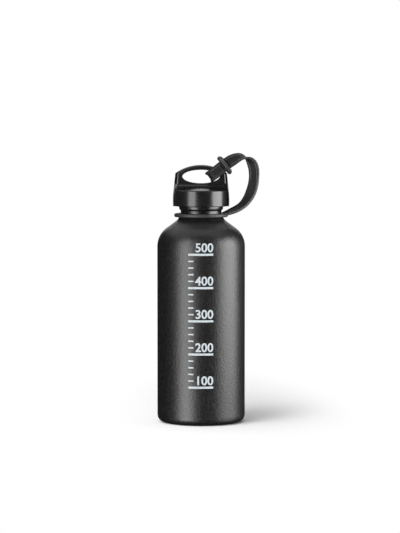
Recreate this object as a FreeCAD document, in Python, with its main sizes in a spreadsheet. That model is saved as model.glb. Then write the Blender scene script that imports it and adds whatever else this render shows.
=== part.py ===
"""Camping fuel bottle: an aluminium bottle with a push-and-turn cap held by a tether strap.

Frame: the origin is the middle of the foot, +Z runs up the bottle's axis and +X points
to the side where the strap leaves the neck. Lengths are in millimetres, angles in degrees.
"""

import FreeCAD, Part
import math
import os

import Sketcher

V = FreeCAD.Vector
doc = FreeCAD.newDocument("fuel_bottle")

# Driving sizes, one named cell each, grouped by the piece that they belong to.
SIZES = (
    # bottle_shell: foot, wall, shoulder, neck and lip
    ("body_diameter", 71.0),
    ("body_wall", 0.9),
    ("base_round", 6.0),
    ("foot_width", 3.0),
    ("dome_rise", 5.0),
    ("base_wall", 1.3),
    ("shoulder_start", 142.6),
    ("shoulder_round", 18.4),
    ("shoulder_slope", 54.0),
    ("neck_wall", 2.55),
    ("neck_flare", 11.0),
    ("lip_reach", 1.4),
    ("lip_round", 3.2),
    ("lip_height", 6.0),
    ("lip_edge", 1.2),
    ("mouth_bore", 27.8),
    ("mouth_chamfer", 0.6),
    ("bore_depth", 11.4),
    # inner_cap: threaded plug, flange and drive lugs
    ("thread_depth", 0.9),
    ("plug_length", 13.3),
    ("plug_wall", 2.3),
    ("plug_floor", 2.0),
    ("plug_chamfer", 0.8),
    ("flange_overhang", 1.35),
    ("flange_thickness", 2.6),
    ("lug_count", 6),
    ("lug_inset", 2.4),
    ("lug_length", 4.0),
    ("lug_width", 4.0),
    ("lug_height", 2.2),
    # seal_ring: flat ring round the plug, under the flange
    ("seal_clearance", 0.2),
    ("seal_thickness", 1.4),
    ("seal_width", 3.2),
    # outer_cap: skirt, top, fin with its hole, and what holds it to the inner cap
    ("guide_clearance", 0.3),
    ("lug_gap", 0.6),
    ("skirt_drop", 3.8),
    ("skirt_wall", 1.85),
    ("skirt_inset", 0.15),
    ("skirt_edge", 0.5),
    ("rim_rise", 1.1),
    ("rim_run", 1.0),
    ("rim_round", 1.2),
    ("ledge_fall", 2.2),
    ("ledge_dome", 93.0),
    ("cap_top_wall", 3.5),
    ("ledge_rise", 0.48),
    ("ridge_reach", 0.9),
    ("ridge_land", 0.6),
    ("ridge_ramp", 1.2),
    ("snap_clearance", 0.15),
    ("spring_boss_room", 1.2),
    ("spring_boss_height", 3.0),
    ("fin_thickness", 7.0),
    ("fin_height", 18.5),
    ("fin_inset", 1.81),
    ("fin_arch", 36.0),
    ("fin_corner", 1.8),
    ("fin_round", 2.6),
    ("rib_reach", 1.31),
    ("rib_inset", 0.05),
    ("rib_height", 10.0),
    ("rib_barrel", 60.0),
    ("foot_inset", 1.5),
    ("foot_flare", 1.5),
    ("foot_rise", 1.25),
    ("hole_side", 5.77),
    ("hole_band", 4.04),
    ("hole_flank_share", 0.8),
    ("hole_sill", 0.92),
    ("hole_round", 0.5),
    # return_spring: coil between the plug's floor and the cap's ceiling
    ("spring_room", 2.1),
    ("spring_wire", 1.2),
    ("spring_turns", 6),
    ("spring_seat", 0.1),
    # neck_ring: ring under the lip, with the root that the strap grows from
    ("ring_width", 3.9),
    ("ring_stand", 1.05),
    ("ring_height", 3.0),
    ("ring_round", 1.3),
    ("ring_clearance", 0.3),
    ("root_rise", 0.55),
    ("root_bury", 3.0),
    ("root_length", 4.6),
    ("root_angle", 24.0),
    ("root_tilt", 22.0),
    ("root_margin", 0.25),
    ("root_ease", 0.8),
    # tether_strap: band with raised rims, its reach and the loop through the fin
    ("strap_width", 9.6),
    ("strap_fold_width", 8.5),
    ("strap_thickness", 2.0),
    ("strap_rim", 1.3),
    ("strap_recess", 0.35),
    ("strap_chamfer", 0.4),
    ("strap_reach", 20.3),
    ("strap_rise", 45.4),
    ("strap_clearance", 0.4),
    ("loop_angle", 36.4),
    ("loop_spread", 3.6),
    ("loop_lead", 2.4),
    ("tail_length", 3.2),
    # strap_keeper: oval loop round both layers of the strap
    ("keeper_stand", 2.07),
    ("keeper_bulb", 3.15),
    ("keeper_thickness", 2.5),
    ("keeper_bar", 1.6),
    ("keeper_corner", 5.2),
    ("keeper_slot_corner", 0.6),
    ("keeper_round", 0.7),
    ("bulb_diameter", 3.5),
    ("bulb_length", 9.4),
    ("keeper_layers", 7.0),
    ("keeper_clearance", 0.25),
    # overrun of every cut past the face where it starts
    ("cut_overrun", 1.0),
)

# Places worked out from the sizes: radii, heights and centres that several pieces share.
PLACES = (
    ("body_radius", "sizes.body_diameter / 2"),
    ("wall_inner", "body_radius - sizes.body_wall"),
    ("foot_outer", "body_radius - sizes.base_round"),
    ("foot_inner", "foot_outer - sizes.foot_width"),
    ("dome_radius", "(foot_inner^2 + sizes.dome_rise^2) / (2 * sizes.dome_rise)"),
    ("floor_rise", "sizes.dome_rise + sizes.base_wall - sizes.body_wall"),
    ("floor_radius", "(foot_inner^2 + floor_rise^2) / (2 * floor_rise)"),
    ("floor_top", "sizes.dome_rise + sizes.base_wall"),
    ("shoulder_centre", "body_radius - sizes.shoulder_round"),
    ("slope_in", "shoulder_centre + sizes.shoulder_round * cos(sizes.shoulder_slope)"),
    ("slope_low", "sizes.shoulder_start + sizes.shoulder_round * sin(sizes.shoulder_slope)"),
    ("inner_round", "sizes.shoulder_round - sizes.body_wall"),
    ("inner_slope_in", "shoulder_centre + inner_round * cos(sizes.shoulder_slope)"),
    ("inner_slope_low", "sizes.shoulder_start + inner_round * sin(sizes.shoulder_slope)"),
    ("bore_radius", "sizes.mouth_bore / 2"),
    ("neck_radius", "bore_radius + sizes.neck_wall"),
    ("flare_in", "neck_radius + sizes.neck_flare * (1 - cos(sizes.shoulder_slope))"),
    ("flare_low", "slope_low + (slope_in - flare_in) / tan(sizes.shoulder_slope)"),
    ("neck_top", "flare_low + sizes.neck_flare * sin(sizes.shoulder_slope)"),
    ("lip_radius", "neck_radius + sizes.lip_reach"),
    ("lip_tuck", "sizes.lip_round - sizes.lip_reach"),
    ("lip_low", "neck_top + sqrt(sizes.lip_round^2 - lip_tuck^2)"),
    ("rim_height", "neck_top + sizes.lip_height"),
    ("bore_end", "rim_height - sizes.bore_depth"),
    ("plug_radius", "bore_radius - sizes.thread_depth"),
    ("cup_radius", "plug_radius - sizes.plug_wall"),
    ("flange_low", "rim_height + sizes.seal_thickness"),
    ("flange_top", "flange_low + sizes.flange_thickness"),
    ("flange_radius", "lip_radius + sizes.flange_overhang"),
    ("plug_low", "flange_low - sizes.plug_length"),
    ("cup_floor", "plug_low + sizes.plug_floor"),
    ("lug_outer", "flange_radius - sizes.lug_inset"),
    ("lug_inner", "lug_outer - sizes.lug_length"),
    ("seal_inner", "plug_radius + sizes.seal_clearance"),
    ("seal_outer", "seal_inner + sizes.seal_width"),
    ("ceiling", "flange_top + 2 * sizes.lug_height + sizes.lug_gap"),
    ("cavity_radius", "flange_radius + sizes.guide_clearance"),
    ("skirt_low", "flange_low - sizes.skirt_drop"),
    ("skirt_foot", "cavity_radius + sizes.skirt_wall"),
    ("skirt_head", "skirt_foot - sizes.skirt_inset"),
    ("ledge_edge", "ceiling + sizes.cap_top_wall"),
    ("ledge_top", "ledge_edge + sizes.ledge_rise"),
    ("ledge_out", "skirt_head - sizes.rim_run"),
    ("rim_top", "ledge_top - sizes.ledge_fall"),
    ("shelf_low", "rim_top - sizes.rim_rise"),
    ("fin_face", "sizes.fin_thickness / 2"),
    ("foot_out", "fin_face + sizes.foot_flare"),
    ("foot_low", "ledge_edge + sizes.foot_rise"),
    ("foot_top", "foot_low + sizes.foot_flare"),
    ("rib_foot", "skirt_foot + sizes.rib_reach"),
    ("rib_head", "rib_foot - sizes.rib_inset"),
    ("rib_top", "skirt_low + sizes.rib_height"),
    ("ridge_inner", "cavity_radius - sizes.ridge_reach"),
    ("ridge_top", "flange_low - sizes.snap_clearance"),
    ("ridge_mid", "ridge_top - sizes.ridge_land"),
    ("ridge_low", "ridge_mid - sizes.ridge_ramp"),
    ("fin_top", "ledge_edge + sizes.fin_height"),
    ("fin_head", "rib_foot - sizes.fin_inset"),
    ("foot_length", "2 * (fin_head - sizes.foot_inset)"),
    ("fin_side", "fin_top - sizes.fin_arch + sqrt(sizes.fin_arch^2 - fin_head^2)"),
    ("hole_width", "2 * (fin_head - sizes.hole_side)"),
    ("hole_flank", "hole_width / 2 * sizes.hole_flank_share"),
    ("flank_rise_share", "sqrt(1 - sizes.hole_flank_share^2)"),
    ("arch_over_flank", "fin_top - sizes.fin_arch + sqrt(sizes.fin_arch^2 - hole_flank^2)"),
    ("flank_level", "arch_over_flank - sizes.hole_band"),
    ("hole_low", "foot_top + sizes.hole_sill"),
    ("hole_high", "(2 * flank_level - (1 - flank_rise_share) * hole_low) / (1 + flank_rise_share)"),
    ("hole_height", "hole_high - hole_low"),
    ("hole_centre", "(hole_high + hole_low) / 2"),
    ("ring_inner", "neck_radius + sizes.ring_stand"),
    ("ring_radius", "ring_inner + sizes.ring_width"),
    ("ring_seat", "sizes.neck_flare - sizes.ring_height / 2 - sizes.ring_clearance"),
    ("ring_aside", "sizes.neck_flare - sizes.ring_stand - sizes.ring_height / 2"),
    ("ring_middle", "neck_top - sqrt(ring_seat^2 - ring_aside^2)"),
    ("root_start", "ring_radius - sizes.root_bury"),
    ("root_level", "ring_middle + sizes.root_rise"),
    ("spring_radius", "cup_radius - sizes.spring_room - sizes.spring_wire / 2"),
    ("boss_radius", "spring_radius - sizes.spring_wire / 2 - sizes.spring_boss_room"),
    ("spring_low", "cup_floor + sizes.spring_wire / 2 + sizes.spring_seat"),
    ("spring_high", "ceiling - sizes.spring_wire / 2 - sizes.spring_seat"),
    ("keeper_slot_deep", "sizes.keeper_layers + sizes.strap_thickness + 2 * sizes.keeper_clearance"),
    ("keeper_slot_wide", "sizes.strap_width + 2 * sizes.keeper_clearance"),
    ("keeper_deep", "keeper_slot_deep + 2 * sizes.keeper_bar"),
    ("keeper_length", "keeper_slot_wide + 2 * sizes.keeper_bulb"),
    ("bulb_aside", "keeper_length / 2 - sizes.bulb_diameter / 2"),
    ("bulb_stem", "(sizes.bulb_length - sizes.bulb_diameter) / 2"),
)

# The strap's free run from the ring to the keeper: shares of its reach and of its rise.
STRAP_RUN_SHARES = (
    (0.46, 0.115),
    (0.87, 0.362),
    (0.995, 0.66),
    (0.85, 0.905),
    (0.52, 0.982),
    (0.17, 0.937),
)
# How far the band is turned about its own line at those points and at the keeper.
STRAP_RUN_TURNS = (32.0, 45.0, 48.0, 40.0, -22.0, -63.0)
KEEPER_TURN = -90.0
# Where the fold lies in the fin's hole: shares of the hole's half width and half height.
FOLD_SHARES = (0.375, -0.127)
# Sections of the strap's loft along each stretch.
RUN_SECTIONS = 26
LAYER_SECTIONS = 10
FOLD_SECTIONS = 8


def fill_sheet(name, cells):
    """A spreadsheet with one named cell in each row."""
    sheet = doc.addObject("Spreadsheet::Sheet", name)
    for row, (alias, content) in enumerate(cells, start=1):
        sheet.set(f"A{row}", alias)
        sheet.set(f"B{row}", str(content))
        sheet.setAlias(f"B{row}", alias)
    doc.recompute()
    return sheet


sizes = fill_sheet("sizes", SIZES)
places = fill_sheet("places", [(alias, f"={formula}") for alias, formula in PLACES])


def value(formula):
    """The number that a formula on the named cells gives."""
    return float(places.evalExpression(formula))


def origin_part(body, role):
    """An origin plane or axis of a body, found by its role."""
    return next(part for part in body.Origin.OriginFeatures if part.Role == role)


def new_sketch(body, name, role, level=None):
    """An empty sketch on an origin plane, raised to a level along that plane's normal."""
    sketch = body.newObject("Sketcher::SketchObject", name)
    sketch.AttachmentSupport = [(origin_part(body, role), "")]
    sketch.MapMode = "FlatFace"
    if level:
        sketch.setExpression("AttachmentOffset.Base.z", level)
    return sketch


def arc_between(start, end, radius, turn):
    """The arc under a half circle from start to end that bends left or right."""
    chord = end - start
    side = V(-chord.y, chord.x, 0).normalize()
    if turn == "right":
        side = -side
    depth = math.sqrt(max(radius**2 - (chord.Length / 2) ** 2, 0))
    middle = (start + end) / 2 - side * (radius - depth)
    return Part.Arc(start, middle, end)


def draw_outline(sketch, corners):
    """A closed outline. Each corner is (x, y) in formulas, and (x, y, turn, radius) where an
    arc leaves it. Every corner's place and every arc's radius is bound to its formula."""
    spots = [V(value(corner[0]), value(corner[1]), 0) for corner in corners]
    first = sketch.GeometryCount
    heads, tails = [], []
    for index, corner in enumerate(corners):
        start, end = spots[index], spots[(index + 1) % len(corners)]
        if len(corner) == 2:
            sketch.addGeometry(Part.LineSegment(start, end), False)
        else:
            sketch.addGeometry(arc_between(start, end, value(corner[3]), corner[2]), False)
        # A sketch stores arcs anticlockwise, so one that bends right starts at its far end.
        backwards = len(corner) == 4 and corner[2] == "right"
        tails.append(2 if backwards else 1)
        heads.append(1 if backwards else 2)
    for index, corner in enumerate(corners):
        after = (index + 1) % len(corners)
        sketch.addConstraint(
            Sketcher.Constraint("Coincident", first + index, heads[index], first + after, tails[after])
        )
    for index, corner in enumerate(corners):
        edge = first + index
        bind(sketch, Sketcher.Constraint("DistanceX", edge, tails[index], spots[index].x), corner[0])
        bind(sketch, Sketcher.Constraint("DistanceY", edge, tails[index], spots[index].y), corner[1])
        if len(corner) == 4:
            bind(sketch, Sketcher.Constraint("Radius", edge, value(corner[3])), corner[3])


def bind(sketch, constraint, formula):
    """Add a dimension to a sketch and tie it to its formula."""
    index = sketch.addConstraint(constraint)
    if formula != "0":
        sketch.setExpression(f"Constraints[{index}]", formula)


def rectangle(left, low, right, high):
    """The corners of an upright rectangle, anticlockwise."""
    return ((left, low), (right, low), (right, high), (left, high))


def turned(body, kind, name, corners):
    """A Revolution or Groove of an outline in the XZ plane about the Z axis."""
    sketch = new_sketch(body, f"{name}_outline", "XZ_Plane")
    draw_outline(sketch, corners)
    feature = body.newObject(f"PartDesign::{kind}", name)
    feature.Profile = sketch
    feature.ReferenceAxis = (sketch, ["V_Axis"])
    feature.Angle = 360
    doc.recompute()
    return feature


def padded(body, name, sketch, length, reverse=False, symmetric=False):
    """A Pad of a sketch by a named length."""
    pad = body.newObject("PartDesign::Pad", name)
    pad.Profile = sketch
    pad.setExpression("Length", length)
    pad.Reversed = reverse
    if symmetric:
        pad.SideType = "Symmetric"
    doc.recompute()
    return pad


def pocketed(body, name, sketch, length, symmetric=False):
    """A Pocket of a sketch by a named length."""
    pocket = body.newObject("PartDesign::Pocket", name)
    pocket.Profile = sketch
    pocket.setExpression("Length", length)
    if symmetric:
        pocket.SideType = "Symmetric"
    doc.recompute()
    return pocket


def rounded(body, name, base, radius, chosen):
    """A Fillet on the edges of a feature that a test chooses."""
    edges = [f"Edge{i}" for i, edge in enumerate(base.Shape.Edges, start=1) if chosen(edge)]
    fillet = body.newObject("PartDesign::Fillet", name)
    fillet.Base = (base, edges)
    fillet.setExpression("Radius", radius)
    doc.recompute()
    return fillet


def spread_round(body, name, original, count):
    """A full circle of copies of a feature about the Z axis."""
    pattern = body.newObject("PartDesign::PolarPattern", name)
    pattern.Originals = [original]
    pattern.Axis = (origin_part(body, "Z_Axis"), [""])
    pattern.Angle = 360
    pattern.setExpression("Occurrences", count)
    body.Tip = pattern
    doc.recompute()
    return pattern


def is_line_along(edge, direction):
    """True for a straight edge that runs along a direction."""
    if not isinstance(edge.Curve, Part.Line):
        return False
    return abs(edge.Curve.Direction.dot(direction)) > math.cos(math.radians(1))


def lies_within(edge, wide, deep):
    """True for an edge whose middle is inside a width and a depth about the Z axis."""
    middle = edge.CenterOfMass
    return abs(middle.x) < wide / 2 and abs(middle.y) < deep / 2


def bottle_shell():
    """One aluminium vessel: domed foot, straight wall, S-shaped shoulder and rolled lip."""
    body = doc.addObject("PartDesign::Body", "bottle_shell")
    outside = (
        ("0", "sizes.dome_rise", "right", "places.dome_radius"),
        ("places.foot_inner", "0"),
        ("places.foot_outer", "0", "left", "sizes.base_round"),
        ("places.body_radius", "sizes.base_round"),
        ("places.body_radius", "sizes.shoulder_start", "left", "sizes.shoulder_round"),
        ("places.slope_in", "places.slope_low"),
        ("places.flare_in", "places.flare_low", "right", "sizes.neck_flare"),
        ("places.neck_radius", "places.neck_top", "left", "sizes.lip_round"),
        ("places.lip_radius", "places.lip_low"),
        ("places.lip_radius", "places.rim_height - sizes.lip_edge", "left", "sizes.lip_edge"),
        ("places.lip_radius - sizes.lip_edge", "places.rim_height"),
    )
    inside = (
        ("places.bore_radius + sizes.mouth_chamfer", "places.rim_height"),
        ("places.bore_radius", "places.rim_height - sizes.mouth_chamfer"),
        ("places.bore_radius", "places.bore_end"),
        ("places.inner_slope_in", "places.inner_slope_low", "right", "places.inner_round"),
        ("places.wall_inner", "sizes.shoulder_start"),
        ("places.wall_inner", "sizes.base_round", "right", "sizes.base_round - sizes.body_wall"),
        ("places.foot_outer", "sizes.body_wall"),
        ("places.foot_inner", "sizes.body_wall", "left", "places.floor_radius"),
        ("0", "places.floor_top"),
    )
    turned(body, "Revolution", "vessel", outside + inside)
    return body


def inner_cap():
    """Threaded plug: a cup that hangs in the neck from a flange, with drive lugs on top."""
    body = doc.addObject("PartDesign::Body", "inner_cap")
    plug = (
        ("0", "places.plug_low"),
        ("places.plug_radius - sizes.plug_chamfer", "places.plug_low"),
        ("places.plug_radius", "places.plug_low + sizes.plug_chamfer"),
        ("places.plug_radius", "places.flange_low"),
        ("places.flange_radius", "places.flange_low"),
        ("places.flange_radius", "places.flange_top"),
        ("places.cup_radius", "places.flange_top"),
        ("places.cup_radius", "places.cup_floor"),
        ("0", "places.cup_floor"),
    )
    turned(body, "Revolution", "plug", plug)
    # The inner lugs stand half a step round from the outer ones, so that they mesh.
    sketch = new_sketch(body, "lug_outline", "XY_Plane", "places.flange_top")
    sketch.setExpression("AttachmentOffset.Rotation.Yaw", "180 / sizes.lug_count")
    half = "sizes.lug_width / 2"
    draw_outline(sketch, rectangle("places.lug_inner", f"-{half}", "places.lug_outer", half))
    lug = padded(body, "lug", sketch, "sizes.lug_height")
    spread_round(body, "lugs", lug, "sizes.lug_count")
    return body


def seal_ring():
    """Flat rubber ring on the lip, round the plug."""
    body = doc.addObject("PartDesign::Body", "seal_ring")
    ring = rectangle("places.seal_inner", "places.rim_height", "places.seal_outer", "places.flange_low")
    turned(body, "Revolution", "washer", ring)
    return body


def outer_cap():
    """Over-cap: round skirt with two side ribs, and an upright fin with an oval hole."""
    body = doc.addObject("PartDesign::Body", "outer_cap")
    cap_fin(body)
    drill_fin(body)
    cap_skirt(body)
    cap_inside(body)
    return body


def cap_fin(body):
    """The upright plate: ribs up the skirt's sides, then the fin under its arch, all rounded."""
    sketch = new_sketch(body, "fin_outline", "XZ_Plane")
    corners = (
        ("-places.rib_foot", "places.skirt_low"),
        ("places.rib_foot", "places.skirt_low", "left", "sizes.rib_barrel"),
        ("places.rib_head", "places.rib_top"),
        ("places.fin_head", "places.fin_side", "left", "sizes.fin_arch"),
        ("-places.fin_head", "places.fin_side"),
        ("-places.rib_head", "places.rib_top", "left", "sizes.rib_barrel"),
    )
    draw_outline(sketch, corners)
    plate = padded(body, "fin", sketch, "sizes.fin_thickness", symmetric=True)
    level = value("places.hole_centre")
    corner = rounded(
        body,
        "fin_corners",
        plate,
        "sizes.fin_corner",
        lambda edge: is_line_along(edge, V(0, 1, 0)) and edge.CenterOfMass.z > level,
    )
    rounded(
        body,
        "fin_edges",
        corner,
        "sizes.fin_round",
        lambda edge: not is_line_along(edge, V(0, 1, 0)) and not is_line_along(edge, V(1, 0, 0)),
    )


def drill_fin(body):
    """The oval hole through the fin, with its two rims eased."""
    sketch = new_sketch(body, "hole_outline", "XZ_Plane")
    draw_oval(sketch, "places.hole_centre", "places.hole_width", "places.hole_height")
    hole = pocketed(body, "hole", sketch, "sizes.fin_thickness + sizes.cut_overrun", symmetric=True)
    middle = V(0, 0, value("places.hole_centre"))
    near = value("places.fin_face + sizes.hole_round")
    rounded(
        body,
        "hole_rims",
        hole,
        "sizes.hole_round",
        lambda edge: edge.CenterOfMass.distanceToPoint(middle) < near,
    )


def draw_oval(sketch, level, width, height):
    """An upright ellipse on the sketch's vertical axis."""
    centre = V(0, value(level), 0)
    oval = sketch.addGeometry(Part.Ellipse(centre, value(width) / 2, value(height) / 2), False)
    sketch.exposeInternalGeometry(oval)
    bind(sketch, Sketcher.Constraint("DistanceX", oval, 3, 0.0), "0")
    bind(sketch, Sketcher.Constraint("DistanceY", oval, 3, centre.y), level)
    sketch.addConstraint(Sketcher.Constraint("Horizontal", oval + 1))
    bind(sketch, Sketcher.Constraint("Distance", oval + 1, value(width)), width)
    bind(sketch, Sketcher.Constraint("Distance", oval + 2, value(height)), height)


def cap_skirt(body):
    """The round skirt with its rounded rim and domed ledge, and the fin's flared foot."""
    corners = (
        ("0", "places.skirt_low"),
        ("places.skirt_foot - sizes.skirt_edge", "places.skirt_low"),
        ("places.skirt_foot", "places.skirt_low + sizes.skirt_edge"),
        ("places.skirt_head", "places.shelf_low", "left", "sizes.rim_round"),
        ("places.ledge_out", "places.rim_top", "left", "sizes.ledge_dome"),
        ("0", "places.ledge_top"),
    )
    turned(body, "Revolution", "skirt", corners)
    sketch = new_sketch(body, "foot_outline", "YZ_Plane")
    foot = (
        ("-places.foot_out", "places.shelf_low"),
        ("places.foot_out", "places.shelf_low"),
        ("places.foot_out", "places.foot_low"),
        ("places.fin_face", "places.foot_top"),
        ("-places.fin_face", "places.foot_top"),
        ("-places.foot_out", "places.foot_low"),
    )
    draw_outline(sketch, foot)
    padded(body, "foot", sketch, "places.foot_length", symmetric=True)


def cap_inside(body):
    """The cavity with its retaining ridge, the spring's boss and the drive lugs."""
    cavity = (
        ("0", "places.skirt_low - sizes.cut_overrun"),
        ("places.cavity_radius", "places.skirt_low - sizes.cut_overrun"),
        ("places.cavity_radius", "places.ridge_low"),
        ("places.ridge_inner", "places.ridge_mid"),
        ("places.ridge_inner", "places.ridge_top"),
        ("places.cavity_radius", "places.ridge_top"),
        ("places.cavity_radius", "places.ceiling"),
        ("places.boss_radius", "places.ceiling"),
        ("places.boss_radius", "places.ceiling - sizes.spring_boss_height"),
        ("0", "places.ceiling - sizes.spring_boss_height"),
    )
    turned(body, "Groove", "cavity", cavity)
    sketch = new_sketch(body, "lug_outline", "XY_Plane", "places.ceiling")
    half = "sizes.lug_width / 2"
    draw_outline(sketch, rectangle("places.lug_inner", f"-{half}", "places.lug_outer", half))
    lug = padded(body, "lug", sketch, "sizes.lug_height", reverse=True)
    spread_round(body, "lugs", lug, "sizes.lug_count")


def return_spring():
    """Coil spring that stands on the plug's floor and lifts the outer cap."""
    line = doc.addObject("Part::Feature", "spring_line")
    line.Shape = Part.Wire([arc.toShape() for arc in coil_arcs()])
    wire = doc.addObject("Part::Circle", "spring_wire_end")
    wire.setExpression("Radius", "sizes.spring_wire / 2")
    wire.setExpression("Placement.Base.x", "places.spring_radius")
    wire.setExpression("Placement.Base.z", "places.spring_low")
    wire.Placement.Rotation = FreeCAD.Rotation(V(0, 0, 1), coil_point(0)[1])
    doc.recompute()
    spring = doc.addObject("Part::Sweep", "return_spring")
    spring.Sections = [wire]
    spring.Spine = (line, [f"Edge{index}" for index in range(1, len(line.Shape.Edges) + 1)])
    spring.Solid = True
    doc.recompute()
    return spring


def coil_point(quarter):
    """The coil's wire after a number of quarter turns: its centre and its direction."""
    angle = math.pi / 2 * quarter
    radius, low = value("places.spring_radius"), value("places.spring_low")
    pitch = value("(places.spring_high - places.spring_low) / sizes.spring_turns")
    centre = V(radius * math.cos(angle), radius * math.sin(angle), low + pitch * quarter / 4)
    way = V(-radius * math.sin(angle), radius * math.cos(angle), pitch / (2 * math.pi))
    return centre, way.normalize()


def coil_arcs():
    """The coil as two tangent arcs for each quarter turn."""
    arcs = []
    for quarter in range(4 * round(value("sizes.spring_turns"))):
        start, start_way = coil_point(quarter)
        end, end_way = coil_point(quarter + 1)
        chord, ways = end - start, start_way + end_way
        bend = 2 * (1 - start_way.dot(end_way))
        along = chord.dot(ways)
        reach = (math.sqrt(along**2 + bend * chord.dot(chord)) - along) / bend
        first_corner = start + start_way * reach
        last_corner = end - end_way * reach
        join = (first_corner + last_corner) / 2
        arcs.append(arc_under(start, first_corner, join))
        arcs.append(arc_under(join, last_corner, end))
    return arcs


def arc_under(start, corner, end):
    """The arc from start to end whose end tangents meet at a corner."""
    middle = (start + end) / 2
    half_chord = (end - start).Length / 2
    half_turn = math.acos(half_chord / (corner - start).Length)
    rise = half_chord * math.tan(half_turn / 2)
    return Part.Arc(start, middle + (corner - middle).normalize() * rise, end)


def neck_ring():
    """Rubber ring under the lip, with the thickened root that the strap grows from."""
    body = doc.addObject("PartDesign::Body", "neck_ring")
    low = "places.ring_middle - sizes.ring_height / 2"
    high = "places.ring_middle + sizes.ring_height / 2"
    band = turned(body, "Revolution", "band", rectangle("places.ring_inner", low, "places.ring_radius", high))
    rounded(body, "band_edges", band, "sizes.ring_round", lambda edge: isinstance(edge.Curve, Part.Circle))
    direction, width_line = root_direction(), turned_width(root_direction(), value("sizes.root_tilt"))
    sketch = new_sketch(body, "root_outline", "XY_Plane")
    sketch.AttachmentOffset = FreeCAD.Placement(
        V(value("places.root_start"), 0, value("places.root_level")),
        FreeCAD.Rotation(width_line, direction.cross(width_line), direction, "ZXY"),
    )
    wide = "sizes.strap_width / 2 + sizes.root_margin"
    deep = "sizes.strap_thickness / 2 + sizes.root_margin"
    eased_wide, eased_deep = f"{wide} - sizes.root_ease", f"{deep} - sizes.root_ease"
    outline = (
        (f"-({eased_wide})", f"-({deep})"),
        (eased_wide, f"-({deep})"),
        (wide, f"-({eased_deep})"),
        (wide, eased_deep),
        (eased_wide, deep),
        (f"-({eased_wide})", deep),
        (f"-({wide})", eased_deep),
        (f"-({wide})", f"-({eased_deep})"),
    )
    draw_outline(sketch, outline)
    padded(body, "root", sketch, "sizes.root_length")
    return body


def root_direction():
    """The way the strap leaves the ring: outwards along +X and up."""
    angle = math.radians(value("sizes.root_angle"))
    return V(math.cos(angle), 0, math.sin(angle))


def turned_width(direction, turn):
    """The band's width line: towards -Y, turned about the band's direction by an angle."""
    outwards = V(0, 1, 0).cross(direction).normalize()
    nearer = outwards.cross(direction)
    angle = math.radians(turn)
    return nearer * math.cos(angle) + outwards * math.sin(angle)


def loop_frame():
    """The loop through the fin: its fold's tip, the keeper's middle just past the fin's corner,
    and the direction from keeper to fold."""
    angle = math.radians(value("sizes.loop_angle"))
    direction = V(-math.cos(angle), 0, -math.sin(angle))
    across = FOLD_SHARES[0] * value("places.hole_width") / 2
    level = value("places.hole_centre") + FOLD_SHARES[1] * value("places.hole_height") / 2
    tip = V(across, 0, level)
    corner = V(value("places.fin_head"), 0, value("places.fin_side"))
    length = (tip - corner).dot(direction) + value("sizes.keeper_stand")
    return tip, tip - direction * length, direction


def strap_stations():
    """The strap from root to tail: centre, direction, width line and width at each section."""
    return run_stations() + loop_stations()


def run_stations():
    """The free run: a smooth line from the ring's root to the keeper that twists on its way."""
    tip, keeper, direction = loop_frame()
    start_way = root_direction()
    start = V(value("places.root_start"), 0, value("places.root_level"))
    start += start_way * value("sizes.root_length")
    layer = V(0, -value("sizes.keeper_layers") / 2, 0)
    reach, rise = value("sizes.strap_reach"), value("sizes.strap_rise")
    knots = [start]
    knots += [start + V(reach * out, layer.y * up, rise * up) for out, up in STRAP_RUN_SHARES]
    knots += [keeper + layer - direction * value("sizes.loop_lead")]
    turns = (value("sizes.root_tilt"),) + STRAP_RUN_TURNS + (KEEPER_TURN,)
    steps = [0.0]
    for before, after in zip(knots, knots[1:]):
        steps.append(steps[-1] + (after - before).Length)
    line = Part.BSplineCurve()
    line.interpolate(Points=knots, Parameters=steps, InitialTangent=start_way, FinalTangent=direction)
    twist = Part.BSplineCurve()
    steady = V(0, 1, 0)
    twist.interpolate(
        Points=[V(turn, step, 0) for turn, step in zip(turns, steps)],
        Parameters=steps,
        InitialTangent=steady,
        FinalTangent=steady,
    )
    stations = []
    for index in range(RUN_SECTIONS):
        step = line.parameterAtDistance(line.length() * index / RUN_SECTIONS, line.FirstParameter)
        way = line.tangent(step)[0]
        width_line = turned_width(way, twist.value(step).x)
        stations.append((line.value(step), way, width_line, value("sizes.strap_width")))
    return stations


def loop_stations():
    """The loop: down the fin's front, round through the hole and up its back to the tail."""
    tip, keeper, direction = loop_frame()
    width_line = turned_width(direction, KEEPER_TURN)
    wide, narrow = value("sizes.strap_width"), value("sizes.strap_fold_width")
    near = value("sizes.keeper_layers") / 2
    apart = value("places.fin_face + sizes.strap_clearance + sizes.strap_thickness / 2")
    straight = (tip - keeper).Length - value("sizes.strap_thickness / 2") - apart
    lead, spread = value("sizes.loop_lead"), value("sizes.loop_spread")
    held = value("sizes.keeper_thickness / 2 + sizes.keeper_clearance")
    front = []
    for index in range(LAYER_SECTIONS):
        along = (straight + lead) * index / LAYER_SECTIONS - lead
        share = min(max((along - held) / spread, 0), 1)
        out = near + (apart - near) * share**2 * (3 - 2 * share)
        slope = (apart - near) * 6 * share * (1 - share) / spread
        width = wide + (narrow - wide) * max(along / straight, 0)
        front.append((keeper + direction * along, out, slope, width))
    stations = []
    for centre, out, slope, width in front:
        way = (direction - V(0, slope, 0)).normalize()
        stations.append((centre - V(0, out, 0), way, width_line, width))
    middle = keeper + direction * straight
    for index in range(FOLD_SECTIONS + 1):
        angle = math.pi * index / FOLD_SECTIONS
        centre = middle + direction * (apart * math.sin(angle)) - V(0, apart * math.cos(angle), 0)
        way = direction * math.cos(angle) + V(0, math.sin(angle), 0)
        stations.append((centre, way, width_line, narrow))
    for centre, out, slope, width in reversed(front):
        way = (-direction - V(0, slope, 0)).normalize()
        stations.append((centre + V(0, out, 0), way, width_line, width))
    tail = keeper - direction * value("sizes.tail_length") + V(0, near, 0)
    stations.append((tail, -direction, width_line, wide))
    return stations


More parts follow.
